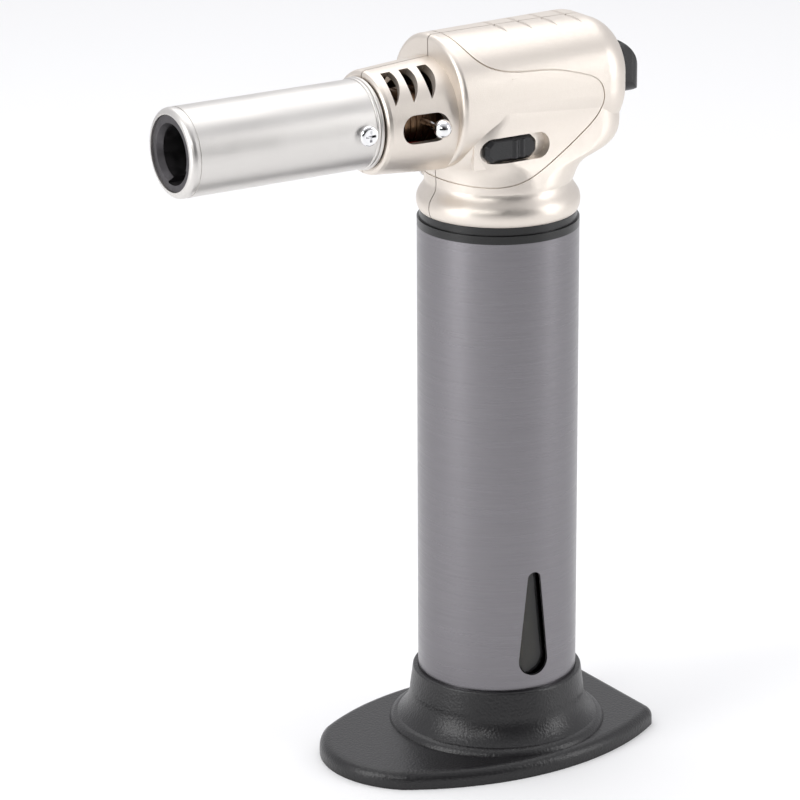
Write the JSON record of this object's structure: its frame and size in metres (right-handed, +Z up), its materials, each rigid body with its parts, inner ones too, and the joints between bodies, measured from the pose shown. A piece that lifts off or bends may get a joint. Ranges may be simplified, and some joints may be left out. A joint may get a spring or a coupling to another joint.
{
  "type": "butane torch",
  "caption": "Free-standing bench torch with a side-facing flame nozzle, thumb trigger, lock slide, air adjuster and a tall gas tank on a broad foot.",
  "frame": {"origin": "on the ground, on the axis of the sleeve, in the mouth of the filling recess under the foot", "axes": "+Z up along the sleeve; the nozzle points along -X and the trigger is at +X; the left half of the head, with the lock slide and the air knob, is at -Y"},
  "size_m": [0.1417, 0.0652, 0.2036],
  "materials": {
    "foot_plastic": "fine grain, satin",
    "sleeve_metal": "gunmetal anodised, brushed round",
    "tank_plastic": "clear smoky plastic",
    "inner_plastic": "plain moulded",
    "ring_plastic": "satin black",
    "valve_brass": "turned",
    "seal_rubber": "plain",
    "spring_steel": "drawn wire",
    "screw_steel": "zinc plated",
    "hose_rubber": "plain",
    "head_metal": "satin champagne nickel",
    "barrel_steel": "brushed lengthways",
    "insert_metal": "heat-dark, satin",
    "bright_chrome": "polished",
    "burner_steel": "heat-tinted",
    "burner_bronze": "heat-browned",
    "white_ceramic": "glazed",
    "electrode_steel": "drawn wire",
    "lead_rubber": "insulated wire",
    "plunger_plastic": "plain moulded",
    "control_plastic": "satin black",
    "lever_steel": "pressed sheet"
  },
  "bodies": {
    "torch_body": {"base_foot": "foot_plastic", "base_screws": "screw_steel", "outer_sleeve": "sleeve_metal", "fuel_tank": "tank_plastic", "tank_cap": "inner_plastic", "upper_ring": "ring_plastic", "fill_valve_body": "valve_brass", "fill_valve_seal": "seal_rubber", "fill_valve_spring": "spring_steel", "gas_valve_body": "valve_brass", "gas_valve_seal": "seal_rubber", "gas_valve_spring": "spring_steel", "gas_hose": "hose_rubber", "head_shell_left": "head_metal", "head_shell_right": "head_metal", "head_screws": "screw_steel", "nozzle_barrel": "barrel_steel", "nozzle_insert": "insert_metal", "barrel_screws": "bright_chrome", "burner_carrier": "burner_steel", "burner_tube": "burner_steel", "flame_holder": "burner_steel", "jet_body": "valve_brass", "gas_jet": "valve_brass", "electrode_ceramic": "white_ceramic", "electrode": "electrode_steel", "piezo_lead": "lead_rubber", "piezo_body": "inner_plastic", "piezo_spring": "spring_steel", "lever_pin": "lever_steel", "lever_bracket": "lever_steel"},
    "trigger": {"trigger_button": "control_plastic", "piezo_plunger": "plunger_plastic"},
    "lever": {"valve_lever": "lever_steel"},
    "gas_stem": {"gas_valve_stem": "valve_brass"},
    "fill_stem": {"fill_valve_stem": "valve_brass"},
    "lock": {"lock_slider": "control_plastic", "lock_hook": "control_plastic"},
    "air_adjuster": {"air_sleeve": "burner_bronze", "air_knob": "bright_chrome"}
  },
  "joints": [
    {"name": "trigger_press", "type": "slide", "parent": "torch_body", "child": "trigger", "axis": [-1, 0, 0], "range_m": [0, 0.006], "stiffness_N_per_m": 1500, "springref_m": -0.002},
    {"name": "lever_turn", "type": "hinge", "parent": "torch_body", "child": "lever", "pos_m": [0.0055, 0, 0.1655], "axis": [0, -1, 0], "range_deg": [0, 22]},
    {"name": "gas_valve_press", "type": "slide", "parent": "torch_body", "child": "gas_stem", "axis": [0, 0, -1], "range_m": [0, 0.002], "deforming": ["gas_valve_spring"]},
    {"name": "fill_valve_press", "type": "slide", "parent": "torch_body", "child": "fill_stem", "axis": [0, 0, 1], "range_m": [0, 0.002], "stiffness_N_per_m": 600, "springref_m": -0.001, "deforming": ["fill_valve_spring"]},
    {"name": "lock_slide", "type": "slide", "parent": "torch_body", "child": "lock", "axis": [1, 0, 0], "range_m": [0, 0.0036]},
    {"name": "air_adjust", "type": "slide", "parent": "torch_body", "child": "air_adjuster", "axis": [-1, 0, 0], "range_m": [0, 0.0075]}
  ],
  "couplings": [
    {"joint": "lever_turn", "follows": "trigger_press", "rad_per_m": 63.9},
    {"joint": "gas_valve_press", "follows": "trigger_press", "ratio": 0.3333}
  ]
}
